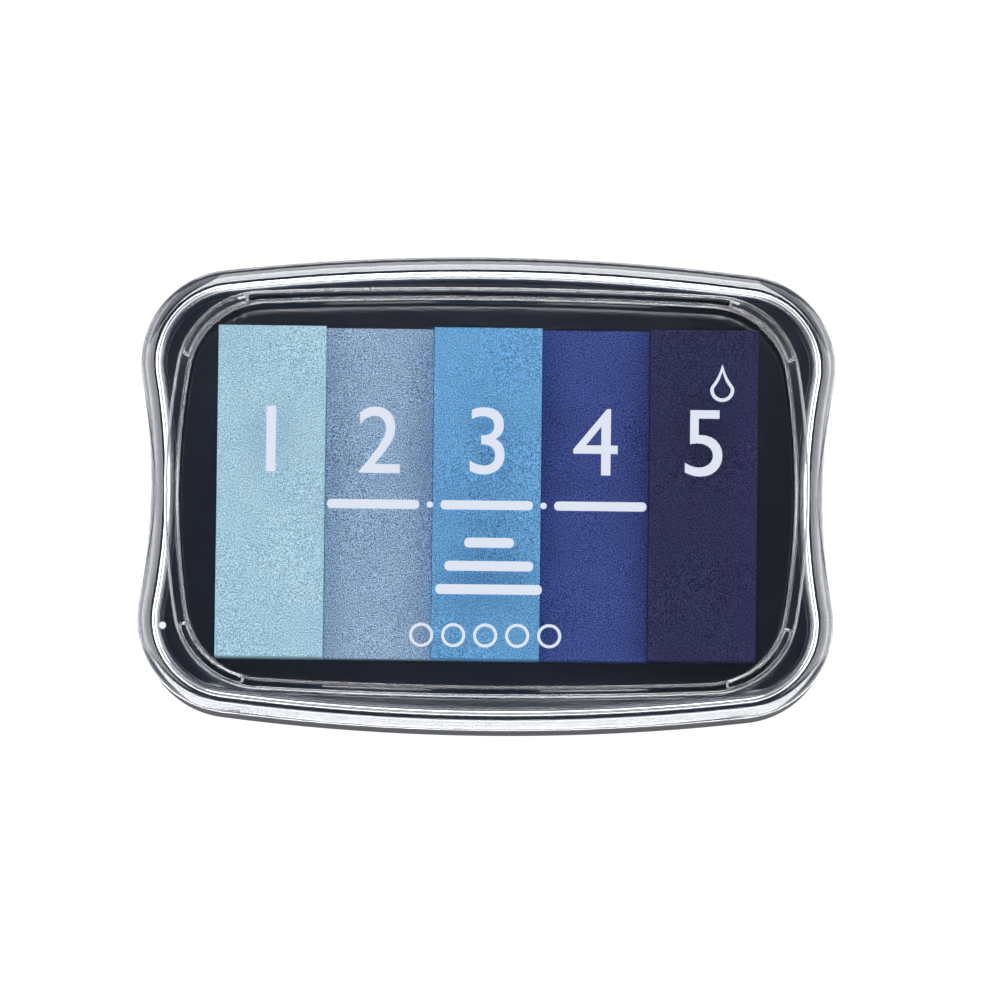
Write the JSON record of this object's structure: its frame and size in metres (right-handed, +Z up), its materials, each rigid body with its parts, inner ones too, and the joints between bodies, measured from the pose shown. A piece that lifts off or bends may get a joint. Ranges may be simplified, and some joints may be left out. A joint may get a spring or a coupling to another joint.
{
  "type": "ink pad",
  "caption": "Raised stamp ink pad: foam ink strips in graded blues on a black moulded base, under a clear lift-off lid with stacking ribs.",
  "frame": {"origin": "centre of the case on the surface it stands on", "axes": "+X to the right along the long side, +Y to the back, +Z up, the way the lid lifts"},
  "size_m": [0.098, 0.067, 0.018],
  "materials": {
    "black_plastic": "satin moulded black",
    "clear_plastic": "clear polished",
    "white_print": "screen-printed",
    "adhesive_sheet": "film, matte",
    "foam_1": "inked fine foam, pale ice blue",
    "foam_2": "inked fine foam, periwinkle blue",
    "foam_3": "inked fine foam, sky blue",
    "foam_4": "inked fine foam, royal blue",
    "foam_5": "inked fine foam, midnight blue"
  },
  "bodies": {
    "base": {"base_tray": "black_plastic", "ink_strip_1": "foam_1", "ink_strip_2": "foam_2", "ink_strip_3": "foam_3", "ink_strip_4": "foam_4", "ink_strip_5": "foam_5", "strip_tape_1": "adhesive_sheet", "strip_tape_2": "adhesive_sheet", "strip_tape_3": "adhesive_sheet", "strip_tape_4": "adhesive_sheet", "strip_tape_5": "adhesive_sheet"},
    "lid": {"lid": "clear_plastic", "lid_print": "white_print"}
  },
  "joints": [
    {"name": "lid_lift", "type": "slide", "parent": "base", "child": "lid", "axis": [0, 0, 1], "range_m": [0, 0.03]}
  ]
}
